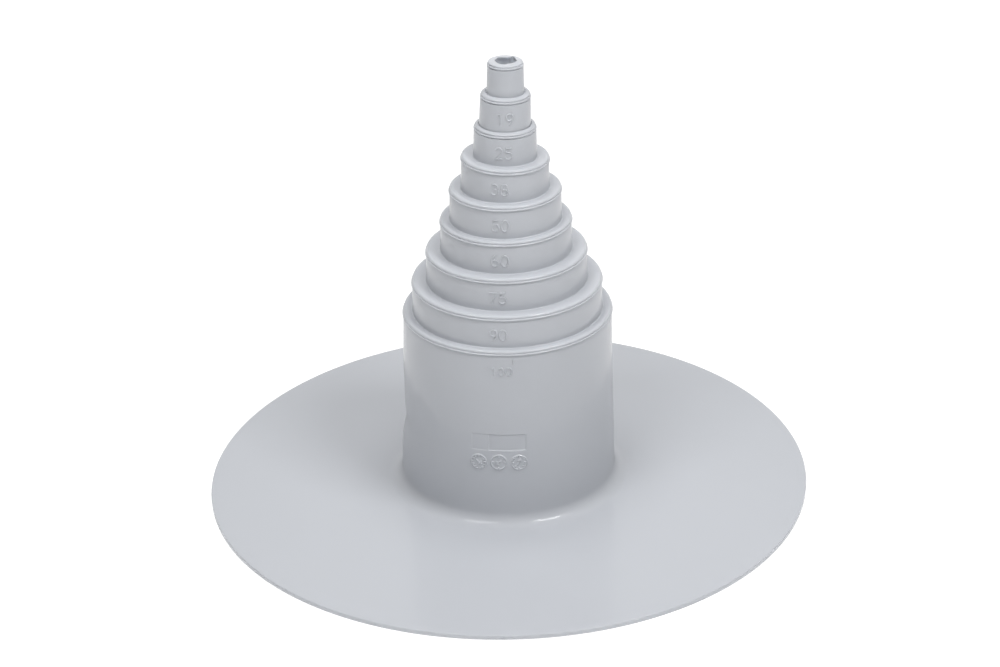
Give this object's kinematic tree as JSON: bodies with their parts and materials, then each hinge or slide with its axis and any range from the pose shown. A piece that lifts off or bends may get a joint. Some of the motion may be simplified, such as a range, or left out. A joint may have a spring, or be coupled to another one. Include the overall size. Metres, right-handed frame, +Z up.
{
  "type": "pipe flashing boot",
  "caption": "Soft stepped cone on a round flat brim that seals a pipe where it comes through a roof; it is cut at the step that fits the pipe.",
  "frame": {"origin": "on the axis of the sleeves at the underside of the brim", "axes": "+Z up the sleeves, from the brim to the top; +X to the right and +Y away from the side that carries the size marks"},
  "size_m": [0.3088, 0.3088, 0.2287],
  "materials": {
    "soft_pvc": "satin light grey soft moulding"
  },
  "bodies": {
    "root": {"boot": "soft_pvc"}
  },
  "joints": []
}
